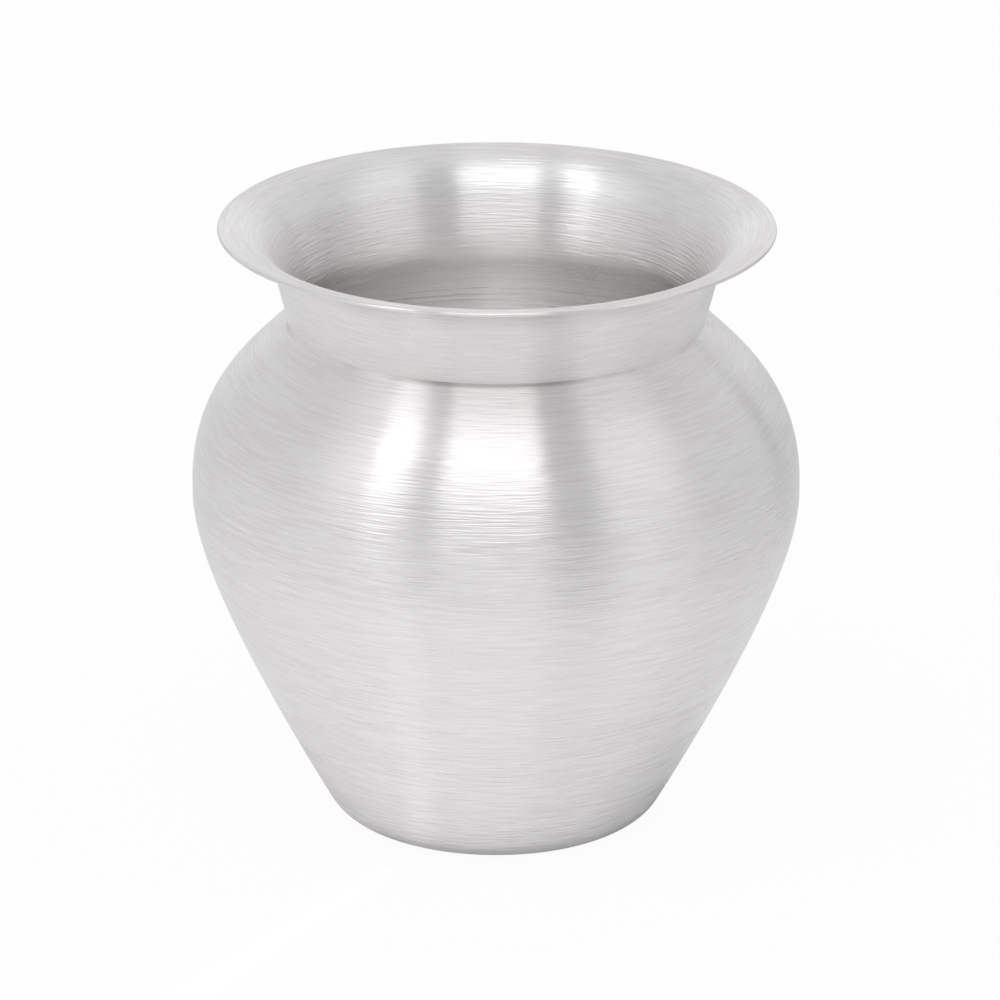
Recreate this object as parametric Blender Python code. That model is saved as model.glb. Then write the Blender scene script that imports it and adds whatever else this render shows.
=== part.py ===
"""A lota: a small round water pot of thin white metal, spun in three pieces and hard-soldered together.

Every piece is turned about the Z axis. The origin is the middle of the base, on the table.
"""

import math

import bmesh
import bpy
from mathutils import Vector

MM = 0.001

# Sheet and seams
SHEET = 0.6 * MM                      # thickness of the sheet in all three shells
SEAM_GAP = 0.3 * MM                   # room between two pieces that meet in a seam

# Lower bowl
BELLY_DIAMETER = 98.6 * MM            # over the widest part of the pot, at the belly seam
BOWL_HEIGHT = 55.0 * MM               # table to the lower edge of the belly seam
BASE_DIAMETER = 42.8 * MM             # outer edge of the flat ring that the pot stands on
STANDING_RING = 6.4 * MM              # width of that ring
DISH_DEPTH = 0.8 * MM                 # hollow pushed up in the middle of the base
HEEL_RADIUS = 7.0 * MM                # outside round between the base and the flank
FLANK_LEAN = math.radians(29.5)       # lean of the flank from upright where it leaves the heel
FLANK_PULL_LOW = 0.30                 # how long each end of the curve keeps its direction,
FLANK_PULL_HIGH = 0.20                # as a share of the straight line between its ends

# Belly seam: the bowl's lip is set in and reaches up inside the shoulder
LAP_HEIGHT = 4.0 * MM                 # length of the lip along the inside of the shoulder
LAP_SLOPE = math.radians(24.0)        # slope from upright of the step that sets the lip in
LAP_BEND = 0.4 * MM                   # tightest round of the two bends of that step

# Shoulder
SHOULDER_HEIGHT = 27.6 * MM           # upper edge of the belly seam to the crease at the neck
SHOULDER_SLOPE = math.radians(46.0)   # fall of the shoulder from level where it meets the neck
SHOULDER_PULL_LOW = 0.49
SHOULDER_PULL_HIGH = 0.25

# Neck collar
NECK_FOOT_DIAMETER = 67.4 * MM        # crease between the shoulder and the neck
NECK_HEIGHT = 15.4 * MM               # crease to the top of the rim
NECK_LEAN = math.radians(14.3)        # lean of the neck wall from upright
FLARE_RADIUS = 8.0 * MM               # underside round from the neck to the rim
RIM_RISE = math.radians(7.0)          # rise of the rim's top from level
RIM_FLAT = 2.0 * MM                   # straight stretch between the flare and the rim's edge
FOOT_BEND = 0.6 * MM                  # outside round between the neck and its foot flange
FLANGE_WIDTH = 3.0 * MM               # how far the foot flange reaches under the shoulder
FLANGE_EDGE = 0.3 * MM                # thickness that the flange is thinned to at its edge

# Neck seam
NECK_SOLDER_WIDTH = 0.8 * MM          # solder between the neck and the edge of the shoulder's mouth

# Fineness of the turned faces
SEGMENTS = 64
DISH_STEPS = 2
HEEL_STEPS = 4
FLANK_STEPS = 10
SHOULDER_STEPS = 10
FLARE_STEPS = 6
BEND_STEPS = 2
RIM_STEPS = 4
WALK_STEPS = 200
SHARP_EDGE = math.radians(40.0)
SAME_POINT = 0.001 * MM

# Finishes: linear colour, roughness
BRUSHED_WHITE_METAL = ((0.72, 0.71, 0.70), 0.34)
DRESSED_SOLDER = ((0.62, 0.60, 0.58), 0.40)


# Profiles in the half plane (radius, height)
# A path is a list of stations, each a point and the direction of travel there.

def leaning(lean):
    """Direction of a wall that leans outward from upright."""
    return Vector((math.sin(lean), math.cos(lean)))


def inward(direction):
    """Side of a path that faces the inside of the pot, for a path that climbs its outside."""
    return Vector((-direction.y, direction.x))


def straight(start, end):
    """Path along a straight line."""
    direction = (end - start).normalized()
    return [(start, direction), (end, direction)]


def arc(centre, radius, first, last, steps):
    """Path round a centre, from one angle to another."""
    turn = math.copysign(1.0, last - first)
    path = []
    for step in range(steps + 1):
        angle = first + (last - first) * step / steps
        spoke = Vector((math.cos(angle), math.sin(angle)))
        path.append((centre + spoke * radius, inward(spoke) * turn))
    return path


def corner_arc(before, corner, after, radius, steps):
    """Path round a corner between two straight legs."""
    leg_in = (corner - before).normalized()
    leg_out = (after - corner).normalized()
    right_turn = leg_in.angle_signed(leg_out)
    to_centre = -inward(leg_in) * math.copysign(1.0, right_turn)
    centre = corner - leg_in * radius * math.tan(abs(right_turn) / 2) + to_centre * radius
    first = math.atan2(-to_centre.y, -to_centre.x)
    return arc(centre, radius, first, first - right_turn, steps)


def curve(start, end, directions, pulls, steps, first=0.0, last=1.0):
    """Path along a cubic curve, or a stretch of it, that leaves and arrives in given directions."""
    span = (end - start).length
    handle_a = start + directions[0] * span * pulls[0]
    handle_b = end - directions[1] * span * pulls[1]
    path = []
    for step in range(steps + 1):
        t = first + (last - first) * step / steps
        s = 1.0 - t
        point = start * s**3 + handle_a * (3 * s * s * t) + handle_b * (3 * s * t * t) + end * t**3
        slope = (handle_a - start) * (s * s) + (handle_b - handle_a) * (2 * s * t) + (end - handle_b) * (t * t)
        path.append((point, slope.normalized()))
    return path


def joined(*paths):
    """One path from several that follow on, with one station where two of them meet."""
    whole = list(paths[0])
    for path in paths[1:]:
        point, direction = path[0]
        last_point, last_direction = whole[-1]
        if (point - last_point).length < SAME_POINT:
            whole[-1] = (last_point, (last_direction + direction).normalized())
            whole.extend(path[1:])
        else:
            whole.extend(path)
    return whole


def points(path):
    """Points of a path without their directions."""
    return [point for point, direction in path]


def inside(path, depth):
    """Points of a path moved towards the inside of the pot."""
    return [point + inward(direction) * depth for point, direction in path]


def crossing(point_a, direction_a, point_b, direction_b):
    """Point where two straight lines cross."""
    normal = inward(direction_b)
    reach = (point_b - point_a).dot(normal) / direction_a.dot(normal)
    return point_a + direction_a * reach


# Points and curves that neighbouring pieces share

UPRIGHT = leaning(0.0)
LEVEL = leaning(math.pi / 2)
NECK_WALL = leaning(NECK_LEAN)
SHOULDER_END = leaning(SHOULDER_SLOPE - math.pi / 2)
LAP_DEPTH = SHEET + SEAM_GAP
BELLY = Vector((BELLY_DIAMETER / 2, BOWL_HEIGHT))
SKIRT_EDGE = BELLY + UPRIGHT * LAP_DEPTH / math.tan(LAP_SLOPE)
NECK_FOOT = Vector((NECK_FOOT_DIAMETER / 2, SKIRT_EDGE.y + SHOULDER_HEIGHT))
SOLDER_BY_NECK = crossing(NECK_FOOT - inward(NECK_WALL) * SEAM_GAP, NECK_WALL, NECK_FOOT, SHOULDER_END)
SOLDER_BY_MOUTH = SOLDER_BY_NECK - SHOULDER_END * NECK_SOLDER_WIDTH
MOUTH_EDGE = SOLDER_BY_MOUTH - SHOULDER_END * SEAM_GAP


def shoulder_curve(first=0.0, last=1.0, steps=SHOULDER_STEPS):
    """Outside of the shoulder, from its skirt at the belly up to the edge of its mouth."""
    directions = (UPRIGHT, SHOULDER_END)
    pulls = (SHOULDER_PULL_LOW, SHOULDER_PULL_HIGH)
    return curve(SKIRT_EDGE, MOUTH_EDGE, directions, pulls, steps, first, last)


def lap_under_shoulder(edge, far_edge, reach):
    """Two points just under the shoulder's sheet: at one of its edges, and a given way along from there."""
    walk = points(shoulder_curve(edge, far_edge, WALK_STEPS))
    walked = 0.0
    steps = 0.0
    for here, there in zip(walk, walk[1:]):
        stride = (there - here).length
        steps += min(1.0, max(0.0, (reach - walked) / stride))
        walked += stride
    share = edge + (far_edge - edge) * steps / WALK_STEPS
    return inside(shoulder_curve(edge, share, steps=1), LAP_DEPTH)


def bowl_lip():
    """Foot and top of the lip that slips up inside the shoulder's skirt."""
    return lap_under_shoulder(0.0, 1.0, LAP_HEIGHT)


def foot_flange():
    """Root and edge of the flange that is tucked under the shoulder's mouth."""
    return lap_under_shoulder(1.0, 0.0, FLANGE_WIDTH)


# Turning a profile into a solid piece

def metal(name, finish):
    """Material of one piece."""
    colour, roughness = finish
    material = bpy.data.materials.new(name)
    material.use_nodes = True
    shader = material.node_tree.nodes["Principled BSDF"]
    shader.inputs["Base Color"].default_value = (*colour, 1.0)
    shader.inputs["Roughness"].default_value = roughness
    shader.inputs["Metallic"].default_value = 1.0
    return material


def turned(name, outline, finish, parent, closed=True):
    """Piece made by spinning an outline about Z. An open outline starts and ends on the axis."""
    shape = bmesh.new()
    corners = [shape.verts.new((point.x, 0.0, point.y)) for point in outline]
    pairs = list(zip(corners, corners[1:]))
    if closed:
        pairs.append((corners[-1], corners[0]))
    edges = [shape.edges.new(pair) for pair in pairs]
    bmesh.ops.spin(shape, geom=corners + edges, cent=(0, 0, 0), axis=(0, 0, 1),
                   angle=2 * math.pi, steps=SEGMENTS, use_merge=True)
    bmesh.ops.remove_doubles(shape, verts=shape.verts, dist=SAME_POINT)
    bmesh.ops.recalc_face_normals(shape, faces=shape.faces)
    mesh = bpy.data.meshes.new(name)
    shape.to_mesh(mesh)
    shape.free()
    mesh.shade_smooth()
    mesh.set_sharp_from_angle(angle=SHARP_EDGE)
    mesh.materials.append(metal(name + "_metal", finish))
    piece = bpy.data.objects.new(name, mesh)
    piece.parent = parent
    bpy.context.scene.collection.objects.link(piece)
    return piece


# The five pieces

def lower_bowl(parent):
    """Base, heel and flank in one sheet, with a set-in lip at the top that the shoulder slips over."""
    base_radius = BASE_DIAMETER / 2
    dish_radius = base_radius - STANDING_RING
    dome = (dish_radius**2 + DISH_DEPTH**2) / (2 * DISH_DEPTH)
    dome_centre = Vector((0.0, DISH_DEPTH - dome))
    dish_end = math.acos(dish_radius / dome)
    dish = arc(dome_centre, dome, math.pi / 2, dish_end, DISH_STEPS)
    standing_ring = straight(dish[-1][0], Vector((base_radius, 0.0)))
    heel = arc(Vector((base_radius, HEEL_RADIUS)), HEEL_RADIUS, -math.pi / 2, -FLANK_LEAN, HEEL_STEPS)
    flank = curve(heel[-1][0], BELLY, (leaning(FLANK_LEAN), UPRIGHT),
                  (FLANK_PULL_LOW, FLANK_PULL_HIGH), FLANK_STEPS)
    lip_foot, lip_top = bowl_lip()
    bend_in = corner_arc(flank[-2][0], BELLY, lip_foot, LAP_BEND + SHEET, BEND_STEPS)
    bend_up = corner_arc(BELLY, lip_foot, lip_top, LAP_BEND, BEND_STEPS)
    lip = straight(bend_up[-1][0], lip_top)
    outside = joined(dish, standing_ring, heel, flank[:-1], bend_in, bend_up, lip)
    outline = inside(outside, SHEET) + points(reversed(outside))
    return turned("lower_bowl", outline, BRUSHED_WHITE_METAL, parent, closed=False)


def shoulder_shell(parent):
    """Dome from the belly seam up to a round mouth, cut square at both edges."""
    outside = shoulder_curve()
    outline = inside(outside, SHEET) + points(reversed(outside))
    return turned("shoulder_shell", outline, BRUSHED_WHITE_METAL, parent)


def neck_collar(parent):
    """Leaning neck wall with a flared rim above and a thinned flange below, tucked under the shoulder."""
    rim_direction = leaning(math.pi / 2 - RIM_RISE)
    flare_rise = FLARE_RADIUS * (math.cos(RIM_RISE) - math.sin(NECK_LEAN))
    rim_rise = RIM_FLAT * math.sin(RIM_RISE) + SHEET / 2 * (1 + math.cos(RIM_RISE))
    wall_top = NECK_FOOT + NECK_WALL * (NECK_HEIGHT - flare_rise - rim_rise) / math.cos(NECK_LEAN)
    flare_centre = wall_top - inward(NECK_WALL) * FLARE_RADIUS
    flare = arc(flare_centre, FLARE_RADIUS, math.pi - NECK_LEAN, math.pi / 2 + RIM_RISE, FLARE_STEPS)
    rim = straight(flare[-1][0], flare[-1][0] + rim_direction * RIM_FLAT)
    rim_centre = rim[-1][0] + inward(rim_direction) * (SHEET / 2)
    round_edge = arc(rim_centre, SHEET / 2, RIM_RISE + math.pi / 2, RIM_RISE - math.pi / 2, RIM_STEPS)
    flange_root, flange_edge = foot_flange()
    foot = crossing(NECK_FOOT, NECK_WALL, flange_root, flange_root - flange_edge)
    bend = corner_arc(flange_edge, foot, wall_top, FOOT_BEND, BEND_STEPS)
    flange = straight(flange_edge, bend[0][0])
    outside = joined(flange, bend, flare, rim)
    thinned_edge = inside(outside[:1], FLANGE_EDGE)
    outline = thinned_edge + inside(outside[1:-1], SHEET) + points(round_edge[:-1])
    outline += points(reversed(outside))
    return turned("neck_collar", outline, BRUSHED_WHITE_METAL, parent)


def belly_seam_solder(parent):
    """Ring of solder that fills the groove round the belly, dressed flush with both sheets."""
    lip_foot, lip_top = bowl_lip()
    step = (lip_foot - BELLY).normalized()
    clear_of_step = BELLY - inward(step) * SEAM_GAP
    upper = SKIRT_EDGE - UPRIGHT * SEAM_GAP
    lower = crossing(clear_of_step, step, BELLY, UPRIGHT)
    inner = crossing(clear_of_step, step, upper, LEVEL)
    return turned("belly_seam_solder", [upper, lower, inner], DRESSED_SOLDER, parent)


def neck_seam_solder(parent):
    """Ring of solder between the neck and the shoulder's mouth, dressed to the crease."""
    depth = inward(SHOULDER_END) * SHEET
    below_neck = crossing(SOLDER_BY_NECK, NECK_WALL, NECK_FOOT + depth, SHOULDER_END)
    outline = [SOLDER_BY_NECK, SOLDER_BY_MOUTH, SOLDER_BY_MOUTH + depth, below_neck]
    return turned("neck_seam_solder", outline, DRESSED_SOLDER, parent)


def main():
    for item in list(bpy.data.objects):
        bpy.data.objects.remove(item)
    stand = bpy.data.objects.new("lota", None)
    bpy.context.scene.collection.objects.link(stand)
    for make in (lower_bowl, shoulder_shell, neck_collar, belly_seam_solder, neck_seam_solder):
        piece = make(stand)
        print(piece.name, len(piece.data.polygons), "faces")


main()
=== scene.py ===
# %% [markdown]
# A lota is a small round water pot that stands on a flat base and is carried by its flared rim.
# This one is thin white metal, spun on a lathe in three sheets that are soldered together and then
# brushed all over, so its whole look comes from two things: a smooth turned shape, and fine lines
# that run round it. The packed CAD model is the fixed frame, and every piece here takes its place.

# %% Load the frame
import math

import bmesh
import bpy
from mathutils import Matrix, Vector


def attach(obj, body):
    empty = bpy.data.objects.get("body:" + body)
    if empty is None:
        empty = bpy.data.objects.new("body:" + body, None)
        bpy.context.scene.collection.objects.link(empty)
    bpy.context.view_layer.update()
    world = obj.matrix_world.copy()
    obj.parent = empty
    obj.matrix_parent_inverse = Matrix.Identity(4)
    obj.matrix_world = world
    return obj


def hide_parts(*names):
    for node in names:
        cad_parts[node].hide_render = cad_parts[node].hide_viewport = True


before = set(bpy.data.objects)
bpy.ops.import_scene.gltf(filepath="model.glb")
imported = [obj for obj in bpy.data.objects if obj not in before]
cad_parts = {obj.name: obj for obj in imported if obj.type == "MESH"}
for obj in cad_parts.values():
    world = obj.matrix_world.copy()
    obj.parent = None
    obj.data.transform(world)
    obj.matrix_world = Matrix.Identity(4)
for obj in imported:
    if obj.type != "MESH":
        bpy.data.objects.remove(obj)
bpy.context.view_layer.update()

print("CAD nodes:", ", ".join(sorted(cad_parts)))

# %% [markdown]
# The CAD solids are turned with 64 sides, which is plenty for measuring but shows as flats in polished
# metal. Smoothing their shading would hide some of it, yet the outline would keep its corners.
# So each sheet is turned again from the same sizes, with more sides and a smoother profile.
# A turned piece is drawn as half of its section, in radius and height. A path is a list of stations,
# each a point and the direction of travel there, because the direction gives the inside of the sheet:
# the same path, moved in by the thickness. Blender's curve objects could hold the path as well, but
# plain points are easier to offset and to measure along.

# %% Draw paths in the half section
MM = 0.001
STEP_LENGTH = 0.6 * MM                # distance between stations on a long curve
ARC_STEP = math.radians(5.0)          # turn between stations on a round
LEAST_ARC_STEPS = 4


def leaning(lean):
    """Direction of a wall that leans outward from upright."""
    return Vector((math.sin(lean), math.cos(lean)))


def inward(direction):
    """Side of a path that faces the inside of the pot, for a path that climbs its outside."""
    return Vector((-direction.y, direction.x))


def straight(start, end):
    """Path along a straight line."""
    direction = (end - start).normalized()
    steps = max(1, round((end - start).length / STEP_LENGTH))
    return [(start.lerp(end, step / steps), direction) for step in range(steps + 1)]


def arc(centre, radius, first, last):
    """Path round a centre, from one angle to another."""
    steps = max(LEAST_ARC_STEPS, math.ceil(abs(last - first) / ARC_STEP))
    turn = math.copysign(1.0, last - first)
    path = []
    for step in range(steps + 1):
        angle = first + (last - first) * step / steps
        spoke = Vector((math.cos(angle), math.sin(angle)))
        path.append((centre + spoke * radius, inward(spoke) * turn))
    return path


def curve(start, end, directions, pulls):
    """Path along a cubic curve. The pulls say how long it keeps the direction of either end."""
    span = (end - start).length
    steps = round(span / STEP_LENGTH)
    handle_a = start + directions[0] * span * pulls[0]
    handle_b = end - directions[1] * span * pulls[1]
    path = []
    for step in range(steps + 1):
        t = step / steps
        s = 1.0 - t
        point = start * s**3 + handle_a * (3 * s * s * t) + handle_b * (3 * s * t * t) + end * t**3
        slope = (handle_a - start) * (s * s) + (handle_b - handle_a) * (2 * s * t)
        slope = slope + (end - handle_b) * (t * t)
        path.append((point, slope.normalized()))
    return path


half_round = arc(Vector((0.0, 0.0)), STEP_LENGTH, 0.0, math.pi)
print("a half round has", len(half_round), "stations")

# %% [markdown]
# The seams decide where the sheets start and stop. The bowl's lip slips up inside the shoulder at the
# belly, and the neck's foot is tucked under the shoulder's mouth, so a few points are shared. They are
# worked out once, from the sizes, and the piece below the seam and the piece above it both use them.

# %% Find the points that neighbouring pieces share
SHEET = 0.6 * MM                      # thickness of the sheet
SEAM_GAP = 0.3 * MM                   # room that the seams have for solder
BELLY_DIAMETER = 98.6 * MM
BOWL_HEIGHT = 55.0 * MM               # table to the lower edge of the belly seam
LAP_SLOPE = math.radians(24.0)        # of the step that lets the bowl's lip in
SHOULDER_HEIGHT = 27.6 * MM           # belly seam to the crease at the neck
SHOULDER_SLOPE = math.radians(46.0)   # at the crease
SHOULDER_PULLS = (0.49, 0.25)
NECK_FOOT_DIAMETER = 67.4 * MM
NECK_LEAN = math.radians(14.3)
MOUTH_BACK = 1.1 * MM                 # solder, with its room, between the neck and the shoulder's mouth


def crossing(point_a, direction_a, point_b, direction_b):
    """Point where two straight lines cross."""
    normal = inward(direction_b)
    reach = (point_b - point_a).dot(normal) / direction_a.dot(normal)
    return point_a + direction_a * reach


UPRIGHT = leaning(0.0)
NECK_WALL = leaning(NECK_LEAN)
SHOULDER_END = leaning(SHOULDER_SLOPE - math.pi / 2)
LAP_DEPTH = SHEET + SEAM_GAP

BELLY = Vector((BELLY_DIAMETER / 2, BOWL_HEIGHT))
SKIRT_EDGE = BELLY + UPRIGHT * LAP_DEPTH / math.tan(LAP_SLOPE)
NECK_FOOT = Vector((NECK_FOOT_DIAMETER / 2, SKIRT_EDGE.y + SHOULDER_HEIGHT))
beside_neck = crossing(NECK_FOOT - inward(NECK_WALL) * SEAM_GAP, NECK_WALL, NECK_FOOT, SHOULDER_END)
MOUTH_EDGE = beside_neck - SHOULDER_END * MOUTH_BACK

shoulder_path = curve(SKIRT_EDGE, MOUTH_EDGE, (UPRIGHT, SHOULDER_END), SHOULDER_PULLS)
print("crease at radius", round(NECK_FOOT.x / MM, 2), "height", round(NECK_FOOT.y / MM, 2), "mm")

# %% [markdown]
# Spinning an outline about the upright axis is what the lathe did. Blender's Screw modifier or the
# spin operator would do it too, but here each face also needs two maps. The first unrolls the sheet,
# turns one way and metres along the section the other way, and the brush lines are drawn on it.
# The second is the same stretched to a square, so that a finish can be baked without wasting room.

# %% Turn an outline into a piece
SIDES = 192
SAME_POINT = 0.001 * MM               # nearer than this, two points are one
SHARP_EDGE = math.radians(35.0)
UNROLLED = "unrolled"
BAKE_MAP = "OFBake"


def ring_of(shape, point):
    """Vertices of one turn of the lathe, or a single one on the axis."""
    if point.x < SAME_POINT:
        return [shape.verts.new((0.0, 0.0, point.y))] * (SIDES + 1)
    ring = []
    for side in range(SIDES):
        angle = 2 * math.pi * side / SIDES
        ring.append(shape.verts.new((point.x * math.cos(angle), point.x * math.sin(angle), point.y)))
    return ring + ring[:1]


def turned(name, outline, closed=True):
    """Piece made by spinning an outline about Z. An open outline starts and ends on the axis."""
    shape = bmesh.new()
    rings = [ring_of(shape, point) for point in outline]
    if closed:
        outline = outline + outline[:1]
        rings.append(rings[0])
    along = [0.0]
    for here, there in zip(outline, outline[1:]):
        along.append(along[-1] + (there - here).length)
    unrolled = shape.loops.layers.uv.new(UNROLLED)
    bake_map = shape.loops.layers.uv.new(BAKE_MAP)
    for row in range(len(rings) - 1):
        for side in range(SIDES):
            corners = [(row, side), (row, side + 1), (row + 1, side + 1), (row + 1, side)]
            place = {}
            for r, c in corners:
                place.setdefault(rings[r][c], (c / SIDES, along[r]))
            face = shape.faces.new(place.keys())
            face.smooth = True
            for loop in face.loops:
                turn, length = place[loop.vert]
                loop[unrolled].uv = (turn, length)
                loop[bake_map].uv = (turn, length / along[-1])
    bmesh.ops.recalc_face_normals(shape, faces=shape.faces)
    mesh = bpy.data.meshes.new(name)
    shape.to_mesh(mesh)
    shape.free()
    mesh.set_sharp_from_angle(angle=SHARP_EDGE)
    piece = bpy.data.objects.new(name, mesh)
    bpy.context.scene.collection.objects.link(piece)
    print(name, len(mesh.polygons), "faces,", round(along[-1] / MM), "mm round its section")
    return piece


print("each turn has", SIDES, "sides")

# %% [markdown]
# The outline of a sheet runs along its inside and back along its outside. Paths are joined end to end
# to make one side of it, and the same stations moved in by the thickness give the other side.
# A Solidify modifier would thicken a single surface too, but not to the exact edges of the seams.

# %% Put an outline together


def joined(*paths):
    """One path from several that follow on, with one station where two of them meet."""
    whole = list(paths[0])
    for path in paths[1:]:
        met = (path[0][0] - whole[-1][0]).length < SAME_POINT
        whole.extend(path[1:] if met else path)
    return whole


def points(path):
    """Points of a path without their directions."""
    return [point for point, direction in path]


def inside(path, depth):
    """Points of a path moved towards the inside of the pot."""
    return [point + inward(direction) * depth for point, direction in path]


def backwards(path):
    """The same path, travelled from its end to its start."""
    return [(point, -direction) for point, direction in reversed(path)]


def walked(path, reach):
    """The first stretch of a path, up to a given length."""
    stretch = path[:1]
    length = 0.0
    for (here, _), (there, direction) in zip(path, path[1:]):
        length += (there - here).length
        stretch.append((there, direction))
        if length >= reach:
            break
    return stretch


print("the shoulder has", len(points(shoulder_path)), "stations")

# %% [markdown]
# The lower bowl is one sheet: a base with a shallow dish pushed up in the middle, a round heel, a
# flank that swells out to the belly, and a lip that steps in to slip inside the shoulder. The path is
# drawn from the middle of the base outward and up. Inside, solder has flowed round the lip's edge.

# %% Lower bowl
BASE_DIAMETER = 42.8 * MM             # outer edge of the ring that the pot stands on
STANDING_RING = 6.4 * MM
DISH_DEPTH = 0.8 * MM                 # hollow in the middle of the base
HEEL_RADIUS = 7.0 * MM
FLANK_LEAN = math.radians(29.5)
FLANK_PULLS = (0.30, 0.20)
LAP_HEIGHT = 4.0 * MM                 # lip of the bowl inside the shoulder
LAP_BEND = 0.4 * MM


def corner_arc(before, corner, after, radius):
    """Path round a corner between two straight legs."""
    leg_in = (corner - before).normalized()
    leg_out = (after - corner).normalized()
    right_turn = leg_in.angle_signed(leg_out)
    to_centre = -inward(leg_in) * math.copysign(1.0, right_turn)
    centre = corner - leg_in * radius * math.tan(abs(right_turn) / 2) + to_centre * radius
    first = math.atan2(-to_centre.y, -to_centre.x)
    return arc(centre, radius, first, first - right_turn)


base_radius = BASE_DIAMETER / 2
dish_radius = base_radius - STANDING_RING
dish_round = (dish_radius**2 + DISH_DEPTH**2) / (2 * DISH_DEPTH)
dish_end = math.acos(dish_radius / dish_round)
dish = arc(Vector((0.0, DISH_DEPTH - dish_round)), dish_round, math.pi / 2, dish_end)
standing_ring = straight(dish[-1][0], Vector((base_radius, 0.0)))
heel = arc(Vector((base_radius, HEEL_RADIUS)), HEEL_RADIUS, -math.pi / 2, -FLANK_LEAN)
flank = curve(heel[-1][0], BELLY, (leaning(FLANK_LEAN), UPRIGHT), FLANK_PULLS)

under_shoulder = walked(shoulder_path, LAP_HEIGHT)
lip_foot, lip_top = inside([under_shoulder[0], under_shoulder[-1]], LAP_DEPTH)
bend_in = corner_arc(flank[-2][0], BELLY, lip_foot, LAP_BEND + SHEET)
bend_up = corner_arc(BELLY, lip_foot, lip_top, LAP_BEND)
lip = straight(bend_up[-1][0], lip_top)
solder_on_lip = inside(walked(shoulder_path, LAP_HEIGHT + SHEET)[-1:], SHEET)

bowl_outside = joined(dish, standing_ring, heel, flank[:-1], bend_in, bend_up, lip)
bowl_outline = inside(bowl_outside, SHEET) + solder_on_lip + points(reversed(bowl_outside))
lower_bowl = turned("turned_lower_bowl", bowl_outline, closed=False)

# %% [markdown]
# The shoulder is a dome from the belly up to a round mouth, cut square at both edges. Its curve starts
# upright, in line with the bowl below it, so the belly reads as one smooth swell.

# %% Shoulder
shoulder_outline = inside(shoulder_path, SHEET) + points(reversed(shoulder_path))
shoulder_shell = turned("turned_shoulder", shoulder_outline)

# %% [markdown]
# The neck collar leans out from the crease, flares over and ends in a bare rounded edge of sheet.
# Its outside is drawn first, as a straight wall, a round for the flare and a short flat for the rim.
# The wall's length is what the flare and the rim leave of the neck's height.

# %% Outside of the neck collar
NECK_HEIGHT = 15.4 * MM               # crease to the top of the rim
FLARE_RADIUS = 8.0 * MM
RIM_RISE = math.radians(7.0)
RIM_FLAT = 2.0 * MM

rim_direction = leaning(math.pi / 2 - RIM_RISE)
flare_rise = FLARE_RADIUS * (math.cos(RIM_RISE) - math.sin(NECK_LEAN))
rim_rise = RIM_FLAT * math.sin(RIM_RISE) + SHEET / 2 * (1 + math.cos(RIM_RISE))
wall_top = NECK_FOOT + NECK_WALL * (NECK_HEIGHT - flare_rise - rim_rise) / math.cos(NECK_LEAN)
flare_centre = wall_top - inward(NECK_WALL) * FLARE_RADIUS
flare = arc(flare_centre, FLARE_RADIUS, math.pi - NECK_LEAN, math.pi / 2 + RIM_RISE)
rim = straight(flare[-1][0], flare[-1][0] + rim_direction * RIM_FLAT)
rim_centre = rim[-1][0] + inward(rim_direction) * (SHEET / 2)
round_edge = arc(rim_centre, SHEET / 2, RIM_RISE + math.pi / 2, RIM_RISE - math.pi / 2)

below_mouth = inside(shoulder_path[-1:], SHEET)[0]
below_neck = crossing(NECK_FOOT, NECK_WALL, below_mouth, SHOULDER_END)
wall = straight(below_neck, wall_top)
print("rim", round(2 * (rim_centre.x + SHEET / 2) / MM, 1), "mm across")

# %% [markdown]
# The collar's foot is tucked under the shoulder as a flange. On the real pot the corner is filled out
# inside and dressed to one smooth throat. A single curve from the flange to the flare would be too
# wide in the middle, so the inside runs in two curves that meet upright at the narrowest place, one up
# from the underside of the shoulder and one that opens out into the flare.

# %% Inside of the neck collar
FLANGE_WIDTH = 8.0 * MM               # how far the neck's foot is tucked under the shoulder
THROAT_INSET = (-0.8 * MM, 0.5 * MM)  # narrowest place inside, from the crease inward and up
THROAT_PULLS = (0.62, 0.25)
TRUMPET_PULLS = (0.20, 0.45)
TRUMPET_END = 1                       # station of the flare where the upper curve joins it

tucked = backwards(walked(backwards(shoulder_path), FLANGE_WIDTH))
flange = inside(tucked, SHEET)
throat = NECK_FOOT + Vector(THROAT_INSET)
trumpet_end = inside(flare, SHEET)[TRUMPET_END]
below_throat = curve(flange[0], throat, (tucked[0][1], UPRIGHT), THROAT_PULLS)
above_throat = curve(throat, trumpet_end, (UPRIGHT, flare[TRUMPET_END][1]), TRUMPET_PULLS)
lip_path = joined(flare[TRUMPET_END + 1:], rim)

collar_outline = points(joined(below_throat, above_throat)) + inside(lip_path[:-1], SHEET)
collar_outline += points(round_edge[:-1]) + points(reversed(joined(wall, flare, rim)))
collar_outline += reversed(flange[1:])
neck_collar = turned("turned_neck_collar", collar_outline)
print("throat", round(2 * throat.x / MM, 1), "mm wide")

# %% [markdown]
# Both seams are closed with hard solder, filed flush and brushed over with the rest. At the belly the
# ring fills the step between the two sheets. At the neck it fills the corner up to the crease.
# Each ring is drawn right up to its neighbours, since on the pot no gap is left to see.

# %% Solder in the seams
skirt_corner = inside(shoulder_path[:1], SHEET)
belly_outline = [SKIRT_EDGE] + skirt_corner + points(reversed(bend_up)) + points(reversed(bend_in))
belly_solder = turned("turned_belly_solder", belly_outline)

crease_fillet = points(straight(NECK_FOOT, MOUTH_EDGE))
neck_solder = turned("turned_neck_solder", crease_fillet + [below_mouth, below_neck])

# %% [markdown]
# A finish is a tree of shader nodes. Written one node at a time it is hard to read, so a small class
# stands for one output of a node and knows arithmetic: adding two of them adds a Math node.
# Every other kind of node comes from one method, which sets the node up first and then fills its sockets.

# %% Shader maths as Python expressions


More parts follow.
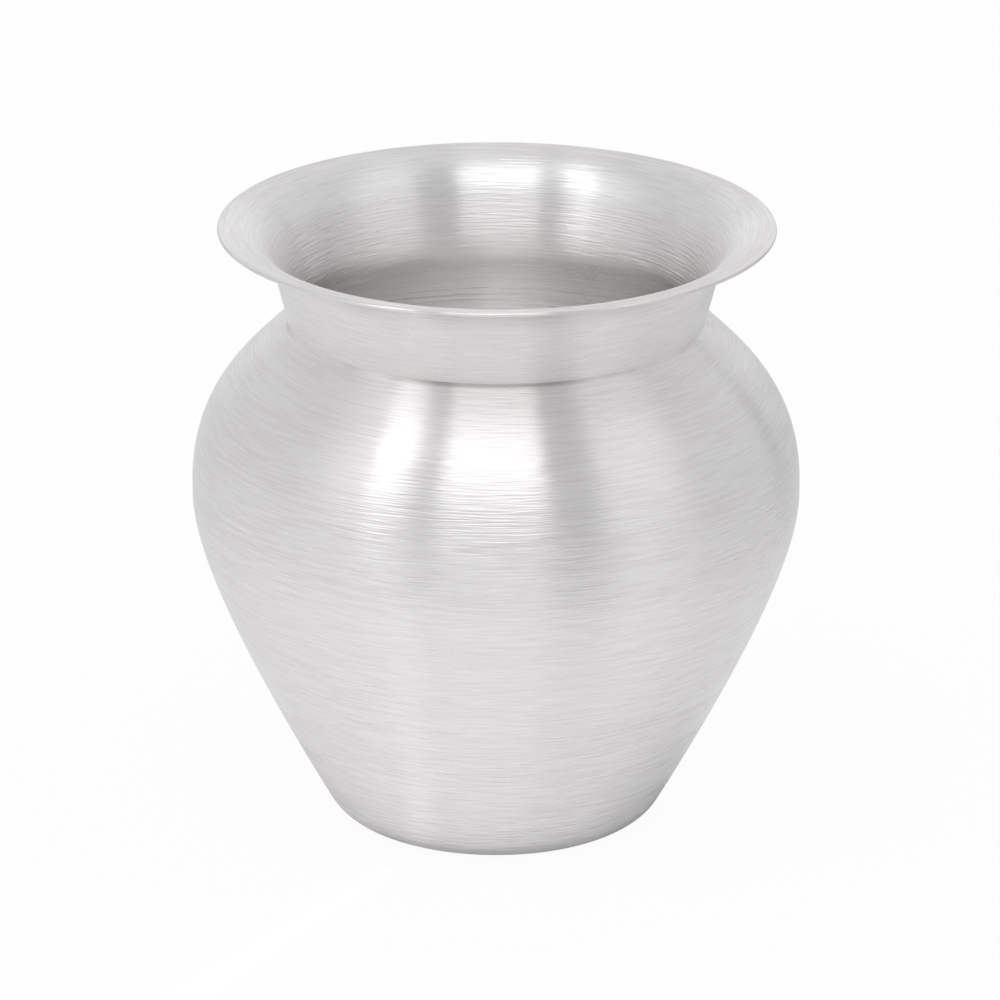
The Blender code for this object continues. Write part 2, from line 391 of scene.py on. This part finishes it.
class Wire:
    """An output in a node tree, which can be added to, multiplied and passed on."""

    def __init__(self, tree, socket=None):
        self.tree = tree
        self.socket = socket

    def node(self, kind, settings=None, sockets=None, output=0):
        """Add a node: its settings first, then a value or a wire for each socket, by name or number."""
        node = self.tree.nodes.new(kind)
        for setting, value in (settings or {}).items():
            setattr(node, setting, value)
        shown_in = [socket for socket in node.inputs if socket.enabled]
        shown_out = [socket for socket in node.outputs if socket.enabled]
        for key, value in (sockets or {}).items():
            socket = shown_in[key] if isinstance(key, int) else next(s for s in shown_in if s.name == key)
            if isinstance(value, Wire):
                self.tree.links.new(value.socket, socket)
            else:
                socket.default_value = value
        if not shown_out:
            return None
        if isinstance(output, int):
            return Wire(self.tree, shown_out[output])
        return Wire(self.tree, next(s for s in shown_out if s.name == output))

    def other(self, name):
        """Another output of the same node."""
        return Wire(self.tree, self.socket.node.outputs[name])

    def maths(self, operation, *values):
        """Arithmetic on numbers."""
        return self.node("ShaderNodeMath", {"operation": operation}, dict(enumerate(values)))

    def vectors(self, operation, *values):
        """Arithmetic on vectors."""
        return self.node("ShaderNodeVectorMath", {"operation": operation}, dict(enumerate(values)))

    def dot(self, first, second):
        """How far one vector reaches along another."""
        return self.vectors("DOT_PRODUCT", first, second)

    def mixed(self, factor, first, second):
        """Blend of two colours."""
        return self.node("ShaderNodeMix", {"data_type": "RGBA"}, {"Factor": factor, "A": first, "B": second})

    def __add__(self, value):
        return self.maths("ADD", self, value)

    def __radd__(self, value):
        return self.maths("ADD", value, self)

    def __sub__(self, value):
        return self.maths("SUBTRACT", self, value)

    def __rsub__(self, value):
        return self.maths("SUBTRACT", value, self)

    def __mul__(self, value):
        return self.maths("MULTIPLY", self, value)

    def __rmul__(self, value):
        return self.maths("MULTIPLY", value, self)

    def __truediv__(self, value):
        return self.maths("DIVIDE", self, value)

    def __rtruediv__(self, value):
        return self.maths("DIVIDE", value, self)

    def between(self, low, high):
        """Soft step: 0 up to the low value, 1 from the high value."""
        settings = {"interpolation_type": "SMOOTHSTEP"}
        return self.node("ShaderNodeMapRange", settings, {"Value": self, "From Min": low, "From Max": high})


def bell(value, sides):
    """Soft rise and fall of a value: 0 at the first and the last side, 1 in the middle."""
    first, middle, last = sides
    return value.between(first, middle) - value.between(middle, last)


def empty_tree(owner):
    """Emptied node tree of a material or a world, as a wire to build from."""
    owner.use_nodes = True
    owner.node_tree.nodes.clear()
    return Wire(owner.node_tree)


print("a wire knows", ", ".join(name for name in vars(Wire) if not name.startswith("_")))

# %% [markdown]
# Brushing leaves lines round the pot. Here they are noise on the unrolled sheet, drawn out many times
# longer round the pot than along its section. A drawn image would need a seam somewhere, while noise
# that is read on a circle closes by itself. The pad was held by hand, so the lines sway a little.

# %% Draw brush lines
SWAY = (12 * MM, 5 * MM, 2.0)         # length round the belly, spacing along the section, and detail
FINE_LINES = (8 * MM, 0.29 * MM, 1.0)
COARSE_LINES = (17 * MM, 0.56 * MM, 2.0)
BROAD_BANDS = (60 * MM, 4 * MM, 2.0)
SWAY_WIDTH = 0.15 * MM
OTHER_LINES = 20.0                    # a step in the noise that leads to lines of another lie
NOISE_MIDDLE = 0.5


def unrolled_place(sheet):
    """Place on the unrolled sheet: cosine and sine of the angle, and metres along the section."""
    place = sheet.node("ShaderNodeUVMap", {"uv_map": UNROLLED})
    turn = sheet.node("ShaderNodeSeparateXYZ", {}, {"Vector": place})
    angle = turn * (2 * math.pi)
    return sheet.maths("COSINE", angle), sheet.maths("SINE", angle), turn.other("Y")


def lines(place, kind, seed):
    """Noise drawn out round the pot to a kind of line. Each seed gives other lines."""
    cosine, sine, metres = place
    length, spacing, detail = kind
    loops = BELLY_DIAMETER / 2 / length
    spot = metres.node("ShaderNodeCombineXYZ", {}, {
        "X": cosine * loops + seed * OTHER_LINES, "Y": sine * loops, "Z": metres / spacing})
    return metres.node("ShaderNodeTexNoise", {"noise_dimensions": "3D"}, {
        "Vector": spot, "Scale": 1.0, "Detail": detail})


def swayed(place, seed):
    """Place moved a little along the section, as the hand with the pad moved."""
    cosine, sine, metres = place
    sway = lines(place, SWAY, seed) - NOISE_MIDDLE
    return cosine, sine, metres + sway * SWAY_WIDTH


print("fine lines every", round(FINE_LINES[1] / MM, 2), "mm,", round(FINE_LINES[0] / MM), "mm long")

# %% [markdown]
# A sheet has an outside, an inside and a rim, and each was treated in another way. They could be cut
# into faces with finishes of their own, but every change would then be a hard line. Instead the finish
# is told where it is, by the height above the table and by whether the sheet faces the axis, and the
# changes come out soft. Deep inside, where no pad reaches, the sheet is as the spinning tool left it.

# %% Tell the inside from the outside
INSIDE_EDGES = (-25 * MM, -8 * MM)    # distance from the axis, counted against the way the sheet faces
DEEP_EDGES = (74 * MM, 84 * MM)       # height above the table, where unbrushed turns to brushed


def place_on_pot(sheet):
    """Height above the table, and how far a place belongs to the inside and to the deep inside."""
    position = sheet.node("ShaderNodeNewGeometry", {}, {}, "Position")
    from_axis = sheet.vectors("MULTIPLY", position, (1.0, 1.0, 0.0))
    outward = sheet.dot(from_axis, position.other("True Normal"))
    height = sheet.dot(position, (0.0, 0.0, 1.0))
    inner = 1 - outward.between(*INSIDE_EDGES)
    deep = inner * (1 - height.between(*DEEP_EDGES))
    return height, inner, deep


print("the deep inside ends", round(DEEP_EDGES[1] / MM), "mm above the table")

# %% [markdown]
# The metal is white where the lines are rubbed and duller between them. Handling has deepened the dull
# lines at the rim, and the throat inside is darker. The colour could be one even value with the lines
# left to the bump, but then they would vanish wherever the light is even.

# %% Colours of the metal
WHITE_METAL = (0.992, 0.974, 0.978, 1.0)
DULL_METAL = (0.915, 0.893, 0.895, 1.0)
DULL_COLLAR = (0.925, 0.905, 0.907, 1.0)
DULL_RIM = (0.875, 0.855, 0.855, 1.0)
RIM_HEIGHTS = (95 * MM, 99.5 * MM)    # above the table, where handling has deepened the lines
INSIDE_METAL = (0.990, 0.982, 0.984, 1.0)
DULL_INSIDE = (0.930, 0.916, 0.918, 1.0)
INSIDE_SHARE = 0.85                   # how far the inside keeps to its own colour
DEEP_METAL = (0.992, 0.984, 0.982, 1.0)
THROAT_METAL = (0.905, 0.886, 0.886, 1.0)
THROAT_HEIGHTS = (82 * MM, 88 * MM, 95 * MM)


def metal_colour(sheet, rubbed, dull, where):
    """Colour of the metal, from how rubbed it is, the colour of its dull lines and the place on the pot."""
    height, inner, deep = where
    dull = sheet.mixed(height.between(*RIM_HEIGHTS), dull, DULL_RIM)
    outer_colour = sheet.mixed(rubbed, dull, WHITE_METAL)
    inner_colour = sheet.mixed(rubbed, DULL_INSIDE, INSIDE_METAL)
    inner_colour = sheet.mixed(deep, inner_colour, DEEP_METAL)
    inner_colour = sheet.mixed(bell(height, THROAT_HEIGHTS), inner_colour, THROAT_METAL)
    return sheet.mixed(inner * INSIDE_SHARE, outer_colour, inner_colour)


print("white metal", WHITE_METAL[:3], "dull metal", DULL_METAL[:3])

# %% [markdown]
# The lines that show one by one are scratches, so they also tilt the sheet and catch the light. They are
# deepest round the belly, where the seam was dressed, and fainter higher up. Deep inside, the wide marks
# of the spinning tool are added to them. Cutting the lines into the mesh would take millions of faces, so
# they are a bump: it tilts the light without moving the sheet.

# %% Depth of the lines
LINE_DEPTH = 0.12 * MM
FINE_DEPTH = 1.1                      # these and the other depths are shares of the line depth
COARSE_DEPTH = 0.5
DRESSED_HEIGHTS = (46 * MM, 60 * MM, 70 * MM)  # above the table, where the belly's seam was filed flush
DRESSED_DEPTH = 0.45
CALM_HEIGHTS = (66 * MM, 76 * MM)     # from there up the pot was brushed more lightly
CALM_DEPTH = -0.50
INSIDE_DEPTH = 1.35                   # of the lines inside, against the same height outside
TOOL_MARKS = (40 * MM, 1.1 * MM, 2.0)
TOOL_DEPTH = 4.0


def line_bump(sheet, fine, coarse, tool, where):
    """Normal of the sheet with its lines in it."""
    height, inner, deep = where
    depth = 1 + bell(height, DRESSED_HEIGHTS) * DRESSED_DEPTH + height.between(*CALM_HEIGHTS) * CALM_DEPTH
    depth = depth * (1 - inner * (1 - INSIDE_DEPTH))
    relief = (fine * FINE_DEPTH + coarse * COARSE_DEPTH) * depth + tool * deep * TOOL_DEPTH
    return sheet.node("ShaderNodeBump", {}, {"Strength": 1.0, "Distance": LINE_DEPTH, "Height": relief})


print("lines up to", round(LINE_DEPTH * (1 + DRESSED_DEPTH) / MM, 2), "mm deep in the bump")

# %% [markdown]
# Most lines are too fine to see one by one. They make the metal rough across the brushing and smooth
# along it, so a lamp is drawn out into an upright streak: that is the shader's anisotropy, which stays
# the same all over the pot. The lines that do show are added to it, as colour, roughness and bump.

# %% Brushed sheet
FINE_SHARE = 0.40                     # how much each kind of line counts for where the metal is rubbed
COARSE_SHARE = 0.33
BAND_SHARE = 0.27
RUBBED_EDGES = (0.43, 0.57)
SHEEN = 0.30                          # roughness of the brushed sheet
COARSE_SHEEN = 0.14                   # what the lines, the bands and the place add to it
BAND_SHEEN = 0.08
DEEP_SHEEN = -0.13
STREAK = 1.0                          # how far the gloss is drawn out across the lines
ACROSS = 0.25                         # quarter turn, from round the pot to along its section


def brushed(name, seed, dull, painted_shade=None):
    """Finish of one brushed piece, from the colour of its dull lines. A painted-shade function can darken
    it.
    """
    material = bpy.data.materials.new(name)
    sheet = empty_tree(material)
    unswayed = unrolled_place(sheet)
    place = swayed(unswayed, seed)
    kinds = (FINE_LINES, COARSE_LINES, BROAD_BANDS, TOOL_MARKS)
    fine, coarse, bands, tool = [lines(place, kind, seed + step) for step, kind in enumerate(kinds, 1)]
    where = place_on_pot(sheet)

    rubbed = fine * FINE_SHARE + coarse * COARSE_SHARE + bands * BAND_SHARE
    colour = metal_colour(sheet, rubbed.between(*RUBBED_EDGES), dull, where)
    # If a painted-shade function is given, it darkens the colour where shade falls.
    if painted_shade:
        colour = painted_shade(sheet, unswayed, seed, colour)
    sheen = SHEEN + (coarse - NOISE_MIDDLE) * COARSE_SHEEN + (bands - NOISE_MIDDLE) * BAND_SHEEN
    shader = sheet.node("ShaderNodeBsdfPrincipled", {}, {
        "Base Color": colour, "Metallic": 1.0, "Roughness": sheen + where[2] * DEEP_SHEEN,
        "Normal": line_bump(sheet, fine, coarse, tool, where),
        "Anisotropic": STREAK, "Anisotropic Rotation": ACROSS})
    sheet.node("ShaderNodeOutputMaterial", {}, {"Surface": shader})
    print(name, len(material.node_tree.nodes), "nodes")
    return material


print("roughness about", SHEEN)

# %% [markdown]
# The corner where the neck meets the shoulder lies in shade, and that shade is painted into the colour
# as a dark line. It is even across the front, where the photograph shows it, and broken elsewhere.
# It lies on the solder, whose outline starts at the crease, so it is measured from there.

# %% Painted shade in the crease
# Colour of the painted shade in the crease.
CREASE_SHADE = (0.58, 0.555, 0.55, 1.0)
CREASE_EDGES = (0.30 * MM, 1.10 * MM)
CREASE_MIDDLE = math.radians(-92)     # the front, where the even line has its middle
CREASE_ENDS = (0.83, 0.97)            # cosine of the angle from there, where it runs out
CREASE_BREAKS = (16 * MM, 40 * MM, 2.0)
BREAK_EDGES = (0.45, 0.65)
BREAK_SEED = 4                        # counted from the piece's own seed
CREASE_ELSEWHERE = 0.4


def crease_painted_shade(sheet, place, seed, colour):
    """Colour with the painted shade of the crease, a dark line."""
    cosine, sine, metres = place
    even = cosine * math.cos(CREASE_MIDDLE) + sine * math.sin(CREASE_MIDDLE)
    even = even.between(*CREASE_ENDS)
    broken = lines(place, CREASE_BREAKS, seed + BREAK_SEED).between(*BREAK_EDGES) * CREASE_ELSEWHERE
    # Painted shade: dark at the crease, even across the front and broken elsewhere.
    painted_shade = (1 - metres.between(*CREASE_EDGES)) * sheet.maths("MAXIMUM", even, broken)
    return sheet.mixed(painted_shade, colour, CREASE_SHADE)


print("crease line", round(CREASE_EDGES[1] / MM, 2), "mm wide")

# %% [markdown]
# Each turned piece takes the place of its CAD solid, follows the one body that the pot is, and gets a
# finish of its own, so that no two pieces carry the same lines.

# %% Give each piece its finish and its place in the frame
SEEDS_EACH = 5                        # every piece uses this many kinds of noise
PIECES = (
    (lower_bowl, "lower_bowl", DULL_METAL, None),
    (shoulder_shell, "shoulder_shell", DULL_METAL, None),
    (neck_collar, "neck_collar", DULL_COLLAR, None),
    (belly_solder, "belly_seam_solder", DULL_METAL, None),
    # The neck's solder carries the painted shade of the crease.
    (neck_solder, "neck_seam_solder", DULL_METAL, crease_painted_shade),
)
for number, (piece, node, dull, painted_shade) in enumerate(PIECES):
    piece.data.materials.append(brushed("brushed_" + node, SEEDS_EACH * number, dull, painted_shade))
    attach(piece, "root")
    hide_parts(node)

# %% [markdown]
# The pot stands on a wide sheet of white paper. One big face is enough, since its shape is plain and all
# that it does is done by its finish.

# %% Floor
FLOOR_SIZE = 40.0

half = FLOOR_SIZE / 2
floor_corners = [(-half, -half, 0), (half, -half, 0), (half, half, 0), (-half, half, 0)]
floor_mesh = bpy.data.meshes.new("floor")
floor_mesh.from_pydata(floor_corners, [], [(0, 1, 2, 3)])
floor = bpy.data.objects.new("floor", floor_mesh)
bpy.context.scene.collection.objects.link(floor)
print("floor", FLOOR_SIZE, "m wide")

# %% [markdown]
# In the metal the paper is a pool of light, and most of the pot's lower half is a picture of it.
# The pool fades away from the pot, is weaker on the side away from the lamps, and leaves a darker gap to
# the right of the front, which the belly shows as a stripe. Painting the pool by distance and direction
# is simpler than hanging flags and cards round the pot.

# %% Pool of light on the paper
FOOT_EDGES = (22 * MM, 34 * MM)       # the dark under the heel, from the pot outward
FOOT_FADE = 0.74
POOL_LEVEL = 0.94
POOL_EDGES = (100 * MM, 330 * MM)     # where the pool starts and ends to fade
POOL_FADE = 0.40
POOL_LEFT = (math.radians(50), math.radians(95))
POOL_LEFT_KEEPS = 0.60                # the pool hardly fades on the left, under the left wash of light
BRIGHT_SIDE = math.radians(-20)       # direction of the stronger light, from the front to the right
SHADE_DEPTH = (0.575, 0.13)           # on the weaker side, beside the pot and away from it
SHADE_REACH = (24 * MM, 60 * MM)
SHADE_LIMIT = 1.3                     # so that the paper behind the pot isn't black

floor_material = bpy.data.materials.new("white_paper")
floor_mesh.materials.append(floor_material)
paper = empty_tree(floor_material)
on_paper = paper.node("ShaderNodeNewGeometry", {}, {}, "Position")
paper_x = paper.node("ShaderNodeSeparateXYZ", {}, {"Vector": on_paper})
reach = paper.vectors("LENGTH", on_paper)
toward_light = paper.dot(on_paper, (math.sin(BRIGHT_SIDE), -math.cos(BRIGHT_SIDE), 0.0)) / reach
from_front = paper.maths("ARCTAN2", paper_x, 0 - paper_x.other("Y"))

foot = 1 - reach.between(*FOOT_EDGES)
keeps = (0 - from_front).between(*POOL_LEFT) * POOL_LEFT_KEEPS
pool = (1 - reach.between(*POOL_EDGES) * (1 - keeps) * POOL_FADE) * (1 - foot * FOOT_FADE) * POOL_LEVEL
shade_near, shade_far = SHADE_DEPTH
shade_depth = shade_near + reach.between(*SHADE_REACH) * (shade_far - shade_near)
shade = 1 - paper.maths("MINIMUM", 1 - toward_light, SHADE_LIMIT) * shade_depth
print("pool", len(floor_material.node_tree.nodes), "nodes")

# %% [markdown]
# Two narrow shapes are laid over the pool: the darker gap, and a gleam under the left lamp that the pot
# shows as a pale column. To the camera the paper is plain white, apart from a trace of the pot's shadow,
# so the finish asks what kind of ray has met it. Reflections mostly see the painted pool, and any other
# light falls on matt paper.

# %% White paper
PAPER = (0.93, 0.93, 0.93, 1.0)
WHITE_TO_CAMERA = 0.95                # share of the paper that is plain white, whatever falls on it
WHITE_IN_METAL = 0.70                 # the same share in reflections
GLEAM_SIDES = (math.radians(-41), math.radians(-31), math.radians(-21))
GLEAM_RISE = 0.09
GAP_SIDES = (math.radians(20), math.radians(43))
GAP_SOFTNESS = math.radians(5)
GAP_REACH = (115 * MM, 220 * MM)
GAP_FADE = 0.35

past_left = from_front.between(GAP_SIDES[0] - GAP_SOFTNESS, GAP_SIDES[0] + GAP_SOFTNESS)
past_right = from_front.between(GAP_SIDES[1] - GAP_SOFTNESS, GAP_SIDES[1] + GAP_SOFTNESS)
gap = 1 - (past_left - past_right) * reach.between(*GAP_REACH) * GAP_FADE
gleam = 1 + bell(from_front, GLEAM_SIDES) * GLEAM_RISE

seen = paper.node("ShaderNodeLightPath", {}, {}, "Is Camera Ray")
mirrored = seen.other("Is Glossy Ray") + seen.other("Is Transmission Ray")
level = paper.maths("MAXIMUM", seen, pool * shade * gap * gleam)
tone = paper.node("ShaderNodeCombineColor", {}, {"Red": level, "Green": level, "Blue": level})
matt = paper.node("ShaderNodeBsdfDiffuse", {}, {"Color": PAPER})
white = paper.node("ShaderNodeEmission", {}, {"Color": tone, "Strength": 1.0})
plain = seen * WHITE_TO_CAMERA + mirrored * (WHITE_IN_METAL + foot * (1 - WHITE_IN_METAL))
surface = paper.node("ShaderNodeMixShader", {}, {0: plain, 1: matt, 2: white})
paper.node("ShaderNodeOutputMaterial", {}, {"Surface": surface})
print("white paper", len(floor_material.node_tree.nodes), "nodes")

# %% [markdown]
# Everything above the paper is a soft dome, like a room of white cloth: a little darker in front, on the
# camera's side, and paler behind, with one dark edge on the right that draws the pot's outline. A lit
# room could be modelled, but metal only needs to know how bright each direction is.

# %% Dome
DOME_FRONT = 0.54
DOME_SIDES = 0.645
DOME_BACK = 0.82
SIDE_EDGES = (math.radians(60), math.radians(90))
BACK_EDGES = (math.radians(145), math.radians(172))
BACK_HEIGHTS = (0.50, 0.85)           # height on the dome, as the sine of the elevation
FLAG_DEPTH = 0.30
FLAG_SIDES = (math.radians(127), math.radians(134), math.radians(141))
FLAG_HEIGHTS = (0.12, 0.30)

world = bpy.data.worlds.new("studio_dome")
bpy.context.scene.world = world
sky = empty_tree(world)
outlook = sky.node("ShaderNodeTexCoord", {}, {}, "Generated")
sky_x = sky.node("ShaderNodeSeparateXYZ", {}, {"Vector": outlook})
sky_height = sky_x.other("Z")
azimuth = sky.maths("ARCTAN2", sky_x, 0 - sky_x.other("Y"))
aside = sky.maths("ABSOLUTE", azimuth)

dome = DOME_FRONT + aside.between(*SIDE_EDGES) * (DOME_SIDES - DOME_FRONT)
backdrop = aside.between(*BACK_EDGES) * (1 - sky_height.between(*BACK_HEIGHTS))
flag = bell(azimuth, FLAG_SIDES) * (1 - sky_height.between(*FLAG_HEIGHTS))
dome = dome + backdrop * (DOME_BACK - DOME_SIDES) - flag * FLAG_DEPTH
print("dome", len(world.node_tree.nodes), "nodes")

# %% [markdown]
# Two washes of light lie on the dome, left of the lamps and right of them. The left one is given by
# direction. The right one has a straight edge in the pot's streaks, so it is drawn on a flat panel that
# faces the pot, as the lamps are. Lamps could cast them, but a wash on the cloth has softer ends.

# %% Washes of light on the dome
LEFT_GLOW = 0.56
LEFT_EDGES = (math.radians(-97), math.radians(-62))
LEFT_END = (math.radians(-48), math.radians(-38))
LEFT_HEIGHTS = (0.05, 0.55)
RIGHT_GLOW = 0.27
RIGHT_PANEL = (5.8, 26.1)             # azimuth and elevation of the panel, in degrees
RIGHT_EDGE = (0.64, 0.69)             # on the panel, as shares of its distance
RIGHT_END = (1.0, 3.6)
PANEL_FRONT = (0.0, 0.1)              # only what lies in front of the panel's plane is lit
PANEL_NEAREST = 0.01


def aimed(azimuth, elevation):
    """Axes of a flat panel that faces the pot: towards it, along it to the right, and up it."""
    azimuth = math.radians(azimuth)
    elevation = math.radians(elevation)
    ahead = math.cos(elevation)
    axis = Vector((math.sin(azimuth) * ahead, -math.cos(azimuth) * ahead, math.sin(elevation)))
    across = Vector((math.cos(azimuth), math.sin(azimuth), 0.0))
    return axis, across, axis.cross(across)


left_wash = azimuth.between(*LEFT_EDGES) * (1 - azimuth.between(*LEFT_END))
left_wash = left_wash * sky_height.between(*LEFT_HEIGHTS)
panel_axis, panel_across = aimed(*RIGHT_PANEL)[:2]
panel_depth = sky.dot(outlook, panel_axis)
panel_right = sky.dot(outlook, panel_across) / sky.maths("MAXIMUM", panel_depth, PANEL_NEAREST)
right_wash = panel_right.between(*RIGHT_EDGE) * (1 - panel_right.between(*RIGHT_END))
right_wash = right_wash * panel_depth.between(*PANEL_FRONT)

dome = dome + left_wash * LEFT_GLOW + right_wash * RIGHT_GLOW
cloth = sky.node("ShaderNodeBackground", {}, {"Color": (1.0, 1.0, 1.0, 1.0), "Strength": dome})
sky.node("ShaderNodeOutputWorld", {}, {"Surface": cloth})
print("dome with its washes", len(world.node_tree.nodes), "nodes")

# %% [markdown]
# Two tall softboxes stand in front of the pot and draw the two bright streaks down its shoulder: a wide
# one straight ahead and a narrow one to the left. Each is given on a plane that faces the pot, by where
# its edges lie, because an edge on the plane is an edge of a streak.

# %% Softboxes
BOX_DISTANCE = 1.6
BOX_TARGET = Vector((0.0, 0.0, 0.07))
BOX_WATTS = 4.0                       # for each square metre of a box and each unit of its glow


def softbox(name, facing, sides, ends, glow):
    """Flat lamp facing the pot, with its sides and its lower and upper end as shares of its distance."""
    axis, across, up = aimed(*facing)
    lamp = bpy.data.lights.new(name, "AREA")
    lamp.shape = "RECTANGLE"
    lamp.size = (sides[1] - sides[0]) * BOX_DISTANCE
    lamp.size_y = (ends[1] - ends[0]) * BOX_DISTANCE
    lamp.energy = glow * BOX_WATTS * lamp.size * lamp.size_y
    box = bpy.data.objects.new(name, lamp)
    middle = axis + across * sum(sides) / 2 + up * sum(ends) / 2
    turn = Matrix((across, up, axis)).transposed().to_4x4()
    box.matrix_world = Matrix.Translation(BOX_TARGET + middle * BOX_DISTANCE) @ turn
    box.visible_camera = False
    bpy.context.scene.collection.objects.link(box)
    print(name, round(lamp.size, 2), "by", round(lamp.size_y, 2), "m")


softbox("front_softbox", facing=(0.0, 22.1), sides=(-0.37, 0.33), ends=(0.19, 1.8), glow=0.76)
softbox("left_softbox", facing=(-17.4, 33.2), sides=(-0.62, -0.32), ends=(0.05, 1.2), glow=0.53)

# %% [markdown]
# The camera looks down on the pot from about twenty degrees, far enough away that the base and the rim
# keep their true proportion. The angle and the shift were found by laying the pot's rings over the
# photograph. Light inside the pot is handed on many times, so more bounces are kept than usual.

# %% Camera
VIEW_TARGET = Vector((0.0, 0.0, 0.05))
VIEW_DISTANCE = 1.2
VIEW_ELEVATION = math.radians(20.15)
VIEW_ROLL = math.radians(0.20)
SENSOR_WIDTH = 36.0
LENS = 265.3
SHIFT = (0.0041, 0.0174)
BOUNCES = 12

camera_data = bpy.data.cameras.new("camera")
camera_data.sensor_width = SENSOR_WIDTH
camera_data.lens = LENS
camera_data.shift_x, camera_data.shift_y = SHIFT
camera = bpy.data.objects.new("camera", camera_data)
toward = Vector((0.0, -math.cos(VIEW_ELEVATION), math.sin(VIEW_ELEVATION)))
aim = toward.to_track_quat("Z", "Y").to_matrix().to_4x4() @ Matrix.Rotation(VIEW_ROLL, 4, "Z")
camera.matrix_world = Matrix.Translation(VIEW_TARGET + toward * VIEW_DISTANCE) @ aim
bpy.context.scene.collection.objects.link(camera)
bpy.context.scene.camera = camera
bpy.context.scene.view_settings.view_transform = "Standard"
bpy.context.scene.cycles.glossy_bounces = BOUNCES
print("camera", VIEW_DISTANCE, "m away, lens", LENS)

# %% [markdown]
